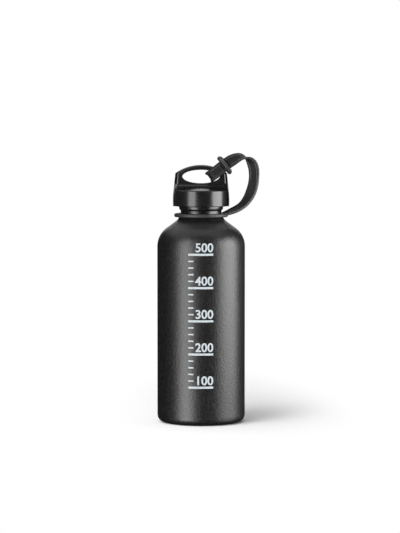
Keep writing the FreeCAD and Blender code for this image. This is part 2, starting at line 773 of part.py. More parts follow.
def strap_section(centre, way, width_line, width):
    """The band's outline across its line: raised rims on both faces and eased edges."""
    face_line = way.cross(width_line)
    half, deep = width / 2, value("sizes.strap_thickness") / 2
    rim, recess = value("sizes.strap_rim"), value("sizes.strap_recess")
    ease = value("sizes.strap_chamfer")
    quarter = (
        (half, deep - ease),
        (half - ease, deep),
        (half - rim, deep),
        (half - rim - recess, deep - recess),
    )
    outline = list(quarter)
    outline += [(-across, out) for across, out in reversed(quarter)]
    outline += [(-across, -out) for across, out in quarter]
    outline += [(across, -out) for across, out in reversed(quarter)]
    spots = [centre + width_line * across + face_line * out for across, out in outline]
    return Part.makePolygon(spots + spots[:1])


def tether_strap():
    """The band from the ring's root, twisting on its way, through the fin and back."""
    strap = doc.addObject("Part::Feature", "tether_strap")
    strap.Shape = Part.makeLoft([strap_section(*station) for station in strap_stations()], True)
    return strap


def strap_keeper():
    """Oval loop with thick ends round both layers of the strap, square to them."""
    body = doc.addObject("PartDesign::Body", "strap_keeper")
    sketch = new_sketch(body, "plate_outline", "XY_Plane")
    wide, deep = "places.keeper_length / 2", "places.keeper_deep / 2"
    draw_outline(sketch, rectangle(f"-{wide}", f"-{deep}", wide, deep))
    plate = padded(body, "plate", sketch, "sizes.keeper_thickness", symmetric=True)
    oval = rounded(
        body, "plate_ends", plate, "sizes.keeper_corner", lambda edge: is_line_along(edge, V(0, 0, 1))
    )
    rounded(
        body, "plate_edges", oval, "sizes.keeper_round", lambda edge: not is_line_along(edge, V(0, 0, 1))
    )
    keeper_bulb(body, "left", "-places.bulb_aside")
    keeper_bulb(body, "right", "places.bulb_aside")
    sketch = new_sketch(body, "slot_outline", "XY_Plane")
    wide, deep = "places.keeper_slot_wide / 2", "places.keeper_slot_deep / 2"
    draw_outline(sketch, rectangle(f"-{wide}", f"-{deep}", wide, deep))
    slot = pocketed(body, "slot", sketch, "sizes.bulb_diameter + sizes.cut_overrun", symmetric=True)
    wide = value("places.keeper_slot_wide + sizes.keeper_bar")
    deep = value("places.keeper_slot_deep + sizes.keeper_bar")
    rounded(
        body,
        "slot_corners",
        slot,
        "sizes.keeper_slot_corner",
        lambda edge: is_line_along(edge, V(0, 0, 1)) and lies_within(edge, wide, deep),
    )
    tip, keeper, direction = loop_frame()
    width_line = turned_width(direction, KEEPER_TURN)
    body.Placement = FreeCAD.Placement(
        keeper, FreeCAD.Rotation(width_line, direction.cross(width_line), direction, "ZXY")
    )
    return body


def keeper_bulb(body, side, across):
    """The thick end of the keeper on one side: a short bar with round ends, along the loop's depth."""
    sketch = new_sketch(body, f"{side}_bulb_outline", "XY_Plane")
    sketch.setExpression("AttachmentOffset.Base.x", across)
    wide, stem, tip = "sizes.bulb_diameter / 2", "places.bulb_stem", "sizes.bulb_length / 2"
    outline = (
        ("0", f"-{tip}", "left", wide),
        (wide, f"-{stem}"),
        (wide, stem, "left", wide),
        ("0", tip),
    )
    draw_outline(sketch, outline)
    bulb = body.newObject("PartDesign::Revolution", f"{side}_bulb")
    bulb.Profile = sketch
    bulb.ReferenceAxis = (sketch, ["V_Axis"])
    bulb.Angle = 360
    doc.recompute()


def write_parts(parts):
    """Check the whole document, then write one file for each piece."""
    doc.recompute()
    failed = [item.Label for item in doc.Objects if {"Invalid", "Error"} & set(item.State)]
    failed += [part.Label for part in parts if part.Shape.isNull() or not part.Shape.isValid()]
    if failed:
        raise RuntimeError(f"failed: {failed}")
    os.makedirs("parts", exist_ok=True)
    for part in parts:
        part.Shape.exportStep(f"parts/{part.Label}.step")
        print(f"{part.Label}: {len(part.Shape.Solids)} solid, {part.Shape.Volume:.1f} mm3")


write_parts(
    [
        bottle_shell(),
        inner_cap(),
        seal_ring(),
        return_spring(),
        outer_cap(),
        neck_ring(),
        tether_strap(),
        strap_keeper(),
    ]
)
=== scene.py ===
# %% [markdown]
# # A camping fuel bottle, dressed for its photograph
#
# The solids of this bottle come from a imported CAD model, and they stay where they are. This lesson
# adds what solids leave out: the finish of every surface, fuller rubber pieces with rounded rims, a
# strap and a spring drawn as meshes of their own, the screw threads and a printed fill scale. Lengths
# are metres, the origin is the middle of the foot, +Z runs up the bottle and the camera looks along +Y.

import math

import bmesh
import bpy
import numpy as np
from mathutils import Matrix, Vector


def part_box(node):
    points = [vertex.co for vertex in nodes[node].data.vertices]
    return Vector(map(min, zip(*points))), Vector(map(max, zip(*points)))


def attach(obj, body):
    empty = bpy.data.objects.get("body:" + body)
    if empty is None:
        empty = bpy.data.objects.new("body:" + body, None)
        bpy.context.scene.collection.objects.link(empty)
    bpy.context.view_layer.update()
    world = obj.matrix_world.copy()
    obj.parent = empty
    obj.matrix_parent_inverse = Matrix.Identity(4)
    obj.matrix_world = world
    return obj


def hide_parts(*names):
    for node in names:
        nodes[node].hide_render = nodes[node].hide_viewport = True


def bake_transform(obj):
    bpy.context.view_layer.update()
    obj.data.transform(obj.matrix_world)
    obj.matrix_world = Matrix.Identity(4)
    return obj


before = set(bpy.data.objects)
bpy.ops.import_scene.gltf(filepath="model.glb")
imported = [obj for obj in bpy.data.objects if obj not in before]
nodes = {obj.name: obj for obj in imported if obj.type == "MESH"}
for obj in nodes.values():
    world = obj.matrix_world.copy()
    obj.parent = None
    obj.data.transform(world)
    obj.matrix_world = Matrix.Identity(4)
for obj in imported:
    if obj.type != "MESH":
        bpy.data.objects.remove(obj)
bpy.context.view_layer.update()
print("solids:", ", ".join(sorted(nodes)))

# %% [markdown]
# ## The camera
#
# A product picture is taken from far away with a long lens, so that the bottle's sides stay upright.
# The lens follows from the picture's width and from its focal length counted in pixels. A wide lens
# close by would show the cap from above and the foot from below, and the outline would not fit.

# %% Camera
IMAGE_WIDTH = 400
FOCAL_PIXELS = 2324
SENSOR_WIDTH = 36.0
CAMERA_PLACE = (-0.0009, -1.88, 0.247)
CAMERA_DIP = math.radians(3.68)

scene = bpy.context.scene
scene.view_settings.view_transform = "Standard"
camera = bpy.data.objects.new("camera", bpy.data.cameras.new("camera"))
camera.data.sensor_fit = "HORIZONTAL"
camera.data.sensor_width = SENSOR_WIDTH
camera.data.lens = SENSOR_WIDTH * FOCAL_PIXELS / IMAGE_WIDTH
camera.location = CAMERA_PLACE
camera.rotation_euler = (math.pi / 2 - CAMERA_DIP, 0, 0)
scene.collection.objects.link(camera)
scene.camera = camera
print(f"camera: {camera.data.lens:.1f} mm lens")

# %% [markdown]
# ## Writing shader sums as Python
#
# A node tree is a sum drawn with boxes and wires. Drawing it by hand is slow to read, so a small
# class wraps a socket and lets Python's own operators add the Math nodes. Every other node comes
# from one method that takes its type, its settings and what goes into its sockets.


# %% A wire and a sheet of nodes
def math_method(operation, swapped=False):
    """An operator that adds a Math node, with the wire as its first or, if swapped, second term."""

    def method(wire, other):
        terms = (other, wire) if swapped else (wire, other)
        return wire.sheet.math(operation, *terms)

    return method


class Wire:
    """A number on its way through a node tree. Sums and comparisons of wires add Math nodes."""

    def __init__(self, sheet, socket):
        self.sheet = sheet
        self.socket = socket

    __add__ = math_method("ADD")
    __radd__ = math_method("ADD", swapped=True)
    __sub__ = math_method("SUBTRACT")
    __rsub__ = math_method("SUBTRACT", swapped=True)
    __mul__ = math_method("MULTIPLY")
    __rmul__ = math_method("MULTIPLY", swapped=True)
    __truediv__ = math_method("DIVIDE")
    __pow__ = math_method("POWER")
    __gt__ = math_method("GREATER_THAN")
    __lt__ = math_method("LESS_THAN")


class Sheet:
    """The node tree of a material or of the world."""

    def __init__(self, owner):
        owner.use_nodes = True
        self.tree = owner.node_tree

    def node(self, kind, settings=None, inputs=None, output=0):
        """Add a node: its settings first, then a value or a wire into each named socket."""
        node = self.tree.nodes.new(kind)
        for name, setting in (settings or {}).items():
            setattr(node, name, setting)
        for name, source in (inputs or {}).items():
            self.feed(node.inputs[name], source)
        return Wire(self, node.outputs[output])

    def feed(self, socket, source):
        """Put a wire or a plain value into a socket."""
        if isinstance(source, Wire):
            self.tree.links.new(source.socket, socket)
        else:
            socket.default_value = source

    def math(self, operation, *terms):
        """A Math node on wires and numbers."""
        return self.node("ShaderNodeMath", {"operation": operation}, dict(enumerate(terms)))

    def smooth(self, value, low, high):
        """A soft step from 0 at low to 1 at high."""
        edges = {"Value": value, "From Min": low, "From Max": high}
        return self.node("ShaderNodeMapRange", {"interpolation_type": "SMOOTHSTEP"}, edges)

    def blend(self, share, first, second):
        """A colour between two colours, which are sockets 6 and 7 of a Mix node."""
        parts = {"Factor": share, 6: first, 7: second}
        return self.node("ShaderNodeMix", {"data_type": "RGBA"}, parts, output=2)

    def spread(self, vector):
        """The three parts of a vector as wires."""
        parts = self.node("ShaderNodeSeparateXYZ", inputs={"Vector": vector}).socket.node
        return [Wire(self, socket) for socket in parts.outputs]

    def ray(self, kind):
        """1 for rays of the kind that a Light Path node's output names."""
        return self.node("ShaderNodeLightPath", output=kind)


class Finish(Sheet):
    """A material on Object coordinates, with the numbers that are the same all over it."""

    def __init__(self, name, constants=None):
        self.material = bpy.data.materials.new(name)
        super().__init__(self.material)
        self.shader = self.tree.nodes["Principled BSDF"]
        self.place = self.node("ShaderNodeTexCoord", output="Object")
        self.paint(constants or {})

    def noise(self, size, detail=2.0, stretch=None, place=None):
        """Soft noise from 0 to 1 whose lumps are about one size, in metres."""
        place = place or self.place
        if stretch:
            place = self.node("ShaderNodeMapping", inputs={"Vector": place, "Scale": stretch})
        inputs = {"Vector": place, "Scale": 1 / size, "Detail": detail}
        return self.node("ShaderNodeTexNoise", inputs=inputs, output="Fac")

    def paint(self, sources):
        """Feed wires or plain values into the shader's own sockets."""
        for name, source in sources.items():
            self.feed(self.shader.inputs[name], source)

    def raise_surface(self, height, depth):
        """Bump the surface by a height wire times a depth, which together give metres."""
        bump = self.node("ShaderNodeBump", inputs={"Height": height, "Distance": depth})
        self.paint({"Normal": bump})


print("shader sums are ready")

# %% [markdown]
# ## The studio
#
# A dark glossy thing shows its lights more than its own colour. Two tall soft panels, one in front
# to the left and one to the right, give the two soft bars on the bottle's wall, and the dark room
# between them keeps its middle and edges black. Each is made of two lamps, one above the other,
# because the left bar grows brighter towards the foot and the right bar fades. A picture of a real
# studio wrapped round the scene would light it too, but lamps can be moved one by one. A panel is
# given by the azimuth that it spans, seen from the bottle, and by its radiance. A wide lamp above
# shows in the top of the cap and on the shoulder.

# %% Panels
PANELS = {
    "left_panel": {"span": (-57, -24), "rise": (-0.08, 0.98), "away": 1.2, "radiance": 6.3},
    "left_foot": {"span": (-57, -24), "rise": (-0.90, -0.08), "away": 1.2, "radiance": 8.8},
    "right_panel": {"span": (50, 101), "rise": (0.0, 0.46), "away": 0.55, "radiance": 8.9},
    "right_foot": {"span": (50, 101), "rise": (-0.50, 0.0), "away": 0.55, "radiance": 2.2},
}


def add_lamp(name, size, place, turn, radiance):
    """A soft rectangle of light: its power follows from its area and its radiance."""
    lamp = bpy.data.lights.new(name, "AREA")
    lamp.shape = "RECTANGLE"
    lamp.size, lamp.size_y = size
    lamp.energy = radiance * math.pi * lamp.size * lamp.size_y
    panel = bpy.data.objects.new(name, lamp)
    panel.location = place
    panel.rotation_euler = turn
    scene.collection.objects.link(panel)
    print(f"{name}: {size[0]:.2f} by {size[1]:.2f} m, {lamp.energy:.1f} W")
    return panel


def add_panel(name, span, rise, away, radiance):
    """An upright lamp that faces the axis: azimuth 0 is the camera's side, and + is to the right."""
    middle = math.radians(sum(span) / 2)
    half = math.radians(span[1] - span[0]) / 2
    size = (2 * away * math.tan(half), rise[1] - rise[0])
    place = (away * math.sin(middle), -away * math.cos(middle), sum(rise) / 2)
    return add_lamp(name, size, place, (math.pi / 2, 0, middle), radiance)


panels = {name: add_panel(name, **panel) for name, panel in PANELS.items()}

# %% Lamp above
TOP_PLACE = (-0.35, 0.35, 1.4)
TOP_SIZE = (2.5, 2.2)
TOP_RADIANCE = 1.0

add_lamp("top_lamp", TOP_SIZE, TOP_PLACE, (0, 0, 0), TOP_RADIANCE)

# %% [markdown]
# ## Floor and backdrop
#
# The picture has a pure white ground with a soft shadow. White comes from the backdrop's own colour
# for the rays that the camera sees, and never from more light on the bottle. Mirrored rays see a dim
# room instead, with one white sheet behind the bottle that draws the pale gloss on the shoulder and
# on the cap's top. The floor near the bottle is a matt board that is lit by the lamps, so that it
# keeps the shadow, and further out it fades into the same white as the backdrop. One large white
# floor would be simpler, but it would show in the bottle's wall and grey its foot. So the board is
# hidden from mirrored rays, and it casts no shadow itself, so that the bars run on to the foot.

# %% World
FILL_STRENGTH = 0.05
MIRROR_STRENGTH = 0.02
SHEET_STRENGTH = 1.25
SHEET_NARROWING = 2.2
SHEET_REACH = (0.1, 0.3)
SHEET_RISE = (0.06, 0.16)

world = bpy.data.worlds.new("studio")
scene.world = world
room = Sheet(world)
seen = room.ray("Is Camera Ray")
mirrored = room.math("MAXIMUM", room.ray("Is Glossy Ray"), room.ray("Is Transmission Ray"))
aside, ahead, up = room.spread(room.node("ShaderNodeTexCoord", output="Generated"))
behind = ahead - SHEET_NARROWING * room.math("ABSOLUTE", aside)
sheet = room.smooth(behind, *SHEET_REACH) * room.smooth(up, *SHEET_RISE) * SHEET_STRENGTH
mirror = mirrored * (MIRROR_STRENGTH - FILL_STRENGTH + sheet)
strength = FILL_STRENGTH + seen * (1 - FILL_STRENGTH) + mirror
backdrop = room.tree.nodes["Background"]
backdrop.inputs["Color"].default_value = (1, 1, 1, 1)
room.feed(backdrop.inputs["Strength"], strength)
print("world: white for the camera, dim for the bottle")

# %% Floor
BOARD_LEFT, BOARD_RIGHT = 0.085, 0.135
BOARD_FRONT, BOARD_BACK = 0.125, 0.42
BOARD_FADE = (0.36, 1.0)
BOARD_COLOUR = (0.8, 0.8, 0.8, 1)
BOARD_GLOW = 0.07


def floor_finish():
    """A matt board near the bottle that fades to the backdrop's white further out."""
    constants = {"Base Color": BOARD_COLOUR, "Roughness": 1.0, "Specular IOR Level": 0.0}
    board = Finish("floor_board", constants | {"Emission Strength": BOARD_GLOW})
    x, y, z = board.spread(board.place)
    aside = board.math("MAXIMUM", x / BOARD_RIGHT, x / -BOARD_LEFT)
    along = board.math("MAXIMUM", y / BOARD_BACK, y / -BOARD_FRONT)
    away = board.smooth((aside**2 + along**2) ** 0.5, *BOARD_FADE)
    light = board.blend(board.ray("Is Camera Ray"), (0, 0, 0, 1), (1, 1, 1, 1))
    board.paint({"Emission Color": light})
    white = board.node("ShaderNodeEmission", inputs={"Color": light})
    lit = Wire(board, board.shader.outputs["BSDF"])
    faded = board.node("ShaderNodeMixShader", inputs={"Fac": away, 1: lit, 2: white})
    board.feed(board.tree.nodes["Material Output"].inputs["Surface"], faded)
    return board.material


floor_mesh = bpy.data.meshes.new("floor")
left, right, front, back = -BOARD_LEFT, BOARD_RIGHT, -BOARD_FRONT, BOARD_BACK
corners = [(left, front, 0), (right, front, 0), (right, back, 0), (left, back, 0)]
floor_mesh.from_pydata(corners, [], [(0, 1, 2, 3)])
floor_mesh.materials.append(floor_finish())
floor = bpy.data.objects.new("floor", floor_mesh)
floor.visible_glossy = False
floor.visible_shadow = False
scene.collection.objects.link(floor)
print(f"floor: a board {right - left:.2f} by {back - front:.2f} m")

# %% [markdown]
# ## The shadow
#
# The shadow in the picture falls to the right and backwards, so it comes from a lamp at the front left
# and above. On the glossy bottle such a lamp would show as one more bright spot, so light linking
# keeps it on the board, as a card beside the lamp does in a studio. The right panel is kept off the
# board in the same way, because its shadow would fall to the left.

# %% Light for the board
BOARD_LAMP_AWAY = 1.3
BOARD_LAMP_SIDE = math.radians(-36)
BOARD_LAMP_RISE = math.radians(44)
BOARD_LAMP_SIZE = (1.5, 0.9)
BOARD_LAMP_RADIANCE = 3.3


def link_to_board(lamp, state):
    """Let a lamp light the board alone, INCLUDE, or all but the board, EXCLUDE."""
    board = bpy.data.collections.new(f"{lamp.name}_board")
    board.objects.link(floor)
    board.collection_objects[0].light_linking.link_state = state
    lamp.light_linking.receiver_collection = board


rise, side = BOARD_LAMP_RISE, BOARD_LAMP_SIDE
flat = BOARD_LAMP_AWAY * math.cos(rise)
place = (flat * math.sin(side), -flat * math.cos(side), BOARD_LAMP_AWAY * math.sin(rise))
turn = (math.pi / 2 - rise, 0, side)
board_lamp = add_lamp("board_lamp", BOARD_LAMP_SIZE, place, turn, BOARD_LAMP_RADIANCE)
link_to_board(board_lamp, "INCLUDE")
link_to_board(panels["right_panel"], "EXCLUDE")
print("board_lamp lights the board alone, and right_panel all but the board")

# %% [markdown]
# ## Powder coat and bare aluminium
#
# The bottle is drawn from one piece of aluminium and powder coated outside. The coat is black, dull
# and grainy: melted powder leaves grains of about half a millimetre, on a skin that waves more slowly
# like an orange's peel. It lies thinner and smoother on the rolled neck. Inside there is no coat. Two
# materials on two groups of faces could show that, but the solid's mesh is left as it is. So a mask
# on the Object coordinates tells the two sides of the wall apart: a point is inside where it lies
# nearer the axis than the middle of the wall.

# %% Inner and outer side of the wall
WALL_MIDDLE = 0.03505
FOOT_LEVEL, FOOT_ROUND = 0.006, 0.00555
SHOULDER_LEVEL, SHOULDER_ROUND = 0.1426, 0.01795
SLOPE_RADIUS, SLOPE_LEVEL = 0.02765, 0.1571
SLOPE_SHARE = 1.385
BORE_MIDDLE = 0.0152
DOME_ROUND = 0.0727
DOME_EDGE = 0.0265
DOME_TOP = 0.00565


def inside_of_bottle(sheet):
    """1 on the bare inner wall: nearer the axis than the wall's middle, and above the domed floor."""
    x, y, z = sheet.spread(sheet.place)
    radius = (x**2 + y**2) ** 0.5
    below = sheet.math("MAXIMUM", FOOT_LEVEL - z, 0)
    foot_bend = sheet.math("MAXIMUM", FOOT_ROUND**2 - below**2, 0) ** 0.5
    foot = WALL_MIDDLE - FOOT_ROUND + foot_bend
    above = sheet.math("MAXIMUM", z - SHOULDER_LEVEL, 0)
    shoulder_bend = sheet.math("MAXIMUM", SHOULDER_ROUND**2 - above**2, 0) ** 0.5
    shoulder = WALL_MIDDLE - SHOULDER_ROUND + shoulder_bend
    slope = SLOPE_RADIUS - (z - SLOPE_LEVEL) * SLOPE_SHARE
    neck = sheet.math("MAXIMUM", slope, BORE_MIDDLE)
    high = z > SLOPE_LEVEL
    wall = sheet.math("MINIMUM", foot, shoulder) * (1 - high) + neck * high
    dome = sheet.math("MINIMUM", radius, DOME_EDGE)
    floor_level = DOME_TOP - DOME_ROUND + (DOME_ROUND**2 - dome**2) ** 0.5
    return (radius < wall) * (z > floor_level)


print(f"wall: its middle is {WALL_MIDDLE * 1000:.2f} mm from the axis")

# %% Powder coat
GRAIN_SIZE = 0.0005
PEEL_SIZE = 0.0016
CLOUD_SIZE = 0.03
SPECKLE_LIMITS = (0.35, 0.65)
COAT_DARK = (0.0005, 0.0005, 0.0005, 1)
COAT_PALE = (0.0085, 0.0083, 0.0080, 1)
COAT_DULL = 0.28
COAT_RELIEF = 0.0002
NECK_LEVELS = (0.164, 0.170)
NECK_GLOSS = 0.09
NECK_CALM = 0.7
SPUN_SIZE = 0.0006
SPUN_STRETCH = (0.05, 0.05, 1.0)
SPUN_RELIEF = 0.05
METAL_DARK = (0.60, 0.60, 0.61, 1)
METAL_PALE = (0.74, 0.74, 0.75, 1)


def coated_aluminium():
    """Black powder coat with a fine grain outside, and spun bare metal inside."""
    coat = Finish("powder_coat")
    x, y, z = coat.spread(coat.place)
    bare = inside_of_bottle(coat)
    neck = coat.smooth(z, *NECK_LEVELS)
    grain = coat.noise(GRAIN_SIZE, detail=3.0)
    peel = coat.noise(PEEL_SIZE)
    cloud = coat.noise(CLOUD_SIZE, detail=3.0)
    spun = coat.noise(SPUN_SIZE, stretch=SPUN_STRETCH)
    speckle = coat.smooth(grain * 0.4 + peel * 0.6, *SPECKLE_LIMITS)
    black = coat.blend(speckle, COAT_DARK, COAT_PALE)
    metal = coat.blend(spun, METAL_DARK, METAL_PALE)
    dull = COAT_DULL + 0.10 * grain + 0.06 * speckle + 0.04 * cloud - NECK_GLOSS * neck
    bare_dull = 0.25 + 0.15 * spun
    coat.paint(
        {
            "Base Color": coat.blend(bare, black, metal),
            "Metallic": bare,
            "Roughness": dull * (1 - bare) + bare_dull * bare,
        }
    )
    grains = (grain * 0.3 + peel * 0.7) * (1 - NECK_CALM * neck)
    coat.raise_surface(grains * (1 - bare) + spun * SPUN_RELIEF * bare, COAT_RELIEF)
    return coat.material


nodes["bottle_shell"].data.materials[0] = coated_aluminium()
print("bottle_shell: powder coat outside, bare aluminium inside")

# %% [markdown]
# ## Moulded cap and plug
#
# The over-cap is a glossy black moulding, and the plug under it is a satin one. Moulded plastic is
# never quite flat: it shrinks a little as it cools, so a long shallow waviness bends the reflections,
# and handling leaves fine rubs that dull them in places. One flat gloss would look like black glass,
# so noise gives both. On the cap, the fin's upright edges look a little rounder and shinier than the
# solid's, and the edges of the ribs look sharper. The solid's mesh is left as it is, so a bump shades
# these edges. Its height follows a circle: the way past the edge, squared, over twice the radius.

# %% Mouldings
WAVE_SIZE = 0.011
RUB_SIZE = 0.0011
RUB_STRETCH = (1.0, 1.0, 0.35)
RUB_RELIEF = 0.02
PATCH_SIZE = 0.006
RIB_TOP = (0.1915, 0.1940)
RIB_START = 0.0200
RIB_ROUND = 0.0016
FIN_START = 0.0180
FIN_ROUND = 0.0035
FIN_SHINE = 0.12
FIN_SHINE_REACH = (0.0188, 0.0200)


def moulded(name, dark, light, dull, rub, wave_depth):
    """Black moulded plastic: long waves from shrinking, and fine rubs that change its gloss."""
    plastic = Finish(name)
    wave = plastic.noise(WAVE_SIZE, detail=1.0)
    rubs = plastic.noise(RUB_SIZE, detail=4.0, stretch=RUB_STRETCH)
    patches = plastic.noise(PATCH_SIZE, detail=3.0)
    x, y, z = plastic.spread(plastic.place)
    reach = plastic.math("ABSOLUTE", x)
    fin = plastic.smooth(z, *RIB_TOP)
    shine = plastic.smooth(reach, *FIN_SHINE_REACH) * fin * FIN_SHINE
    plastic.paint(
        {
            "Base Color": plastic.blend(patches, dark, light),
            "Roughness": dull + rub * (rubs * patches) - shine,
        }
    )
    past_fin = plastic.math("MAXIMUM", reach - FIN_START, 0) * fin
    past_rib = plastic.math("MAXIMUM", reach - RIB_START, 0) * (1 - fin)
    waves = (wave + rubs * RUB_RELIEF) * wave_depth
    height = waves - past_fin**2 / (2 * FIN_ROUND) + past_rib**2 / (2 * RIB_ROUND)
    plastic.raise_surface(height, 1.0)
    return plastic.material


nodes["outer_cap"].data.materials[0] = moulded(
    "cap_gloss",
    dark=(0.005, 0.005, 0.0055, 1),
    light=(0.008, 0.008, 0.0085, 1),
    dull=0.215,
    rub=0.16,
    wave_depth=0.00010,
)
nodes["inner_cap"].data.materials[0] = moulded(
    "plug_satin",
    dark=(0.028, 0.028, 0.030, 1),
    light=(0.042, 0.042, 0.044, 1),
    dull=0.36,
    rub=0.25,
    wave_depth=0.00006,
)
print("outer_cap and inner_cap: moulded plastic")

# %% [markdown]
# ## Rubber
#
# Ring, strap, keeper and seal are black rubber. It is dull, with a fine grain from its mould, and in
# time it gets a pale bloom in patches. One function serves ring, keeper and seal, with a colour and a
# dullness for each. The strap has a finish of its own: streaks along the band from the mould's flow,
# and a painted highlight of pale lines along its rims. Noise on Object coordinates can't follow the
# band round its bends. So this finish reads the band's UV map, which holds metres along and across.

# %% Rubber
RUBBER_GRAIN = 0.0004
RUBBER_RELIEF = 0.00003
SEAL_GRAIN = 0.0003
BLOOM_SIZE = 0.007
BLOOM_LIMITS = (0.35, 0.75)


def rubber(name, dark, light, dull, grain_size=RUBBER_GRAIN):
    """Black rubber: a dull skin with a fine grain, and a pale bloom in patches."""
    skin = Finish(name)
    grain = skin.noise(grain_size, detail=3.0)
    bloom = skin.smooth(skin.noise(BLOOM_SIZE, detail=4.0), *BLOOM_LIMITS)
    skin.paint(
        {
            "Base Color": skin.blend(bloom * 0.7 + grain * 0.3, dark, light),
            "Roughness": dull + 0.12 * grain + 0.06 * bloom,
        }
    )
    skin.raise_surface(grain, RUBBER_RELIEF)
    return skin.material


strap_rubber = rubber(
    "strap_rubber_skin", dark=(0.012, 0.012, 0.012, 1), light=(0.022, 0.022, 0.021, 1), dull=0.48
)
keeper_rubber = rubber(
    "keeper_rubber_skin", dark=(0.020, 0.020, 0.020, 1), light=(0.036, 0.036, 0.035, 1), dull=0.24
)
nodes["neck_ring"].data.materials[0] = strap_rubber
nodes["tether_strap"].data.materials[0] = strap_rubber
nodes["strap_keeper"].data.materials[0] = keeper_rubber
nodes["seal_ring"].data.materials[0] = rubber(
    "seal_rubber_skin", (0.035, 0.035, 0.035, 1), (0.055, 0.055, 0.055, 1), 0.6, SEAL_GRAIN
)
print("neck_ring, strap_keeper and seal_ring: rubber")

# %% Rubber of the strap
BAND_SPECULAR = 0.17
BAND_DARK = (0.004, 0.004, 0.004, 1)
BAND_PALE = (0.014, 0.014, 0.0135, 1)
# The pale colour of the painted highlights along the strap's rims.
BAND_PAINTED_HIGHLIGHT = (0.085, 0.085, 0.081, 1)
BAND_RELIEF = 0.00002
STREAK_SIZE = 0.0009
STREAK_STRETCH = (0.06, 1.0, 1.0)
RUBBED_SIZE = 0.004
TOP_RUN = (0.036, 0.046)
LINE_INNER, LINE_OUTER = (0.0025, 0.0029), (0.0032, 0.0036)
LINE_FADE = (0.066, 0.074)
STRIP_REACH = (0.0029, 0.0034)
SIDE_REACH = (0.0044, 0.0047)


def drawn_rubber():
    """The strap's rubber: faint streaks along the band from the mould's flow, and painted highlights on
    its rims. The upper run has a pale line inside both rims, the lower run has one pale strip along its
    front rim, and the sides are painted paler, all broken up by noise."""
    skin = Finish("strap_rubber_band", {"Specular IOR Level": BAND_SPECULAR})
    band = skin.node("ShaderNodeTexCoord", output="UV")
    along, across, up = skin.spread(band)
    aside = skin.math("ABSOLUTE", across)
    top_run = skin.smooth(along, *TOP_RUN)
    # Painted highlights: a pale line inside both rims on the upper run, a pale strip on the lower run's
    # front rim, paler sides.
    line = skin.smooth(aside, *LINE_INNER) * (1 - skin.smooth(aside, *LINE_OUTER))
    line = line * top_run * (1 - 0.6 * skin.smooth(along, *LINE_FADE))
    painted_front_strip = skin.smooth(across, *STRIP_REACH) * (1 - top_run)
    side = skin.smooth(aside, *SIDE_REACH)
    uneven = 0.75 + 0.4 * skin.noise(RUBBED_SIZE, detail=3.0)
    painted_rim_highlight = (line + 0.6 * painted_front_strip + 0.3 * side) * uneven
    grain = skin.noise(RUBBER_GRAIN, detail=3.0)
    streak = skin.noise(STREAK_SIZE, detail=3.0, stretch=STREAK_STRETCH, place=band)
    faces = skin.blend(streak, BAND_DARK, BAND_PALE)
    skin.paint(
        {
            "Base Color": skin.blend(painted_rim_highlight, faces, BAND_PAINTED_HIGHLIGHT),
            "Roughness": 0.46 + 0.08 * grain + 0.08 * streak - 0.15 * side,
        }
    )
    skin.raise_surface(streak * 0.8 + grain * 0.2, BAND_RELIEF)
    return skin.material


band_rubber = drawn_rubber()
print("strap: rubber with streaks along the band")

# %% [markdown]
# ## Steel wire
#
# The return spring is wound from steel wire. Drawing the wire leaves fine lines in it, and the heat
# that sets the coil leaves a faint straw tint. A plain grey metal would do in a closed cap, but a part
# in a library may also be looked at alone.

# %% Spring wire
DRAWN_SIZE = 0.0003
DRAWN_STRETCH = (1.0, 1.0, 4.0)
DRAWN_RELIEF = 0.00001
TINT_SIZE = 0.004
STEEL_GREY = (0.52, 0.52, 0.53, 1)
STEEL_STRAW = (0.60, 0.58, 0.54, 1)


def drawn_steel():
    """Drawn steel wire: bright metal with fine lines and a faint straw tint."""
    steel = Finish("drawn_steel", {"Metallic": 1.0})
    lines = steel.noise(DRAWN_SIZE, stretch=DRAWN_STRETCH)
    tint = steel.noise(TINT_SIZE)
    steel.paint(
        {
            "Base Color": steel.blend(tint, STEEL_GREY, STEEL_STRAW),
            "Roughness": 0.22 + 0.2 * lines,
        }
    )
    steel.raise_surface(lines, DRAWN_RELIEF)
    return steel.material


spring_steel = drawn_steel()
nodes["return_spring"].data.materials[0] = spring_steel
print("return_spring: drawn steel")

# %% [markdown]
# ## Surfaces on grids
#
# Every new piece here is a section carried along a path: an array of rows along the path by columns
# round the section. A bevelled curve would do for plain wire, but not for sections that change on their
# way. One function joins each row to the next and closes the columns round, for a path that closes on
# itself. A second one leaves the path open and caps both ends with strips between the section's sides.

# %% From grid to mesh
SHARP_ANGLE = math.radians(35)
MERGE_DISTANCE = 1e-7


def loop_faces(rows, columns):
    """Quads of a tube that closes on itself: from row to row and from the last row to the first."""
    row, column = np.meshgrid(np.arange(rows), np.arange(columns), indexing="ij")
    next_row, next_column = (row + 1) % rows, (column + 1) % columns
    near = (row * columns + column, row * columns + next_column)
    far = (next_row * columns + next_column, next_row * columns + column)
    return np.stack(near + far, axis=-1).reshape(-1, 4)


def tube_faces(rows, columns, first=0):
    """Quads of a tube with two ends: a loop's without its last row, and strips across both ends."""
    sides = loop_faces(rows, columns)[: (rows - 1) * columns]
    near = np.arange(columns // 2 - 1)
    far = columns - 1 - near
    start = np.stack([near, far, far - 1, near + 1], axis=-1)
    end = start[:, ::-1] + (rows - 1) * columns
    return np.concatenate([sides, start, end]) + first


def add_mesh(name, points, faces, material):
    """A smooth shaded mesh object at the origin, with edges kept sharp past an angle."""
    mesh = bpy.data.meshes.new(name)
    mesh.from_pydata(np.asarray(points).reshape(-1, 3).tolist(), [], np.asarray(faces).tolist())
    mesh.update()
    mesh.shade_smooth()
    mesh.set_sharp_from_angle(angle=SHARP_ANGLE)
    mesh.materials.append(material)
    piece = bpy.data.objects.new(name, mesh)
    scene.collection.objects.link(piece)
    return piece


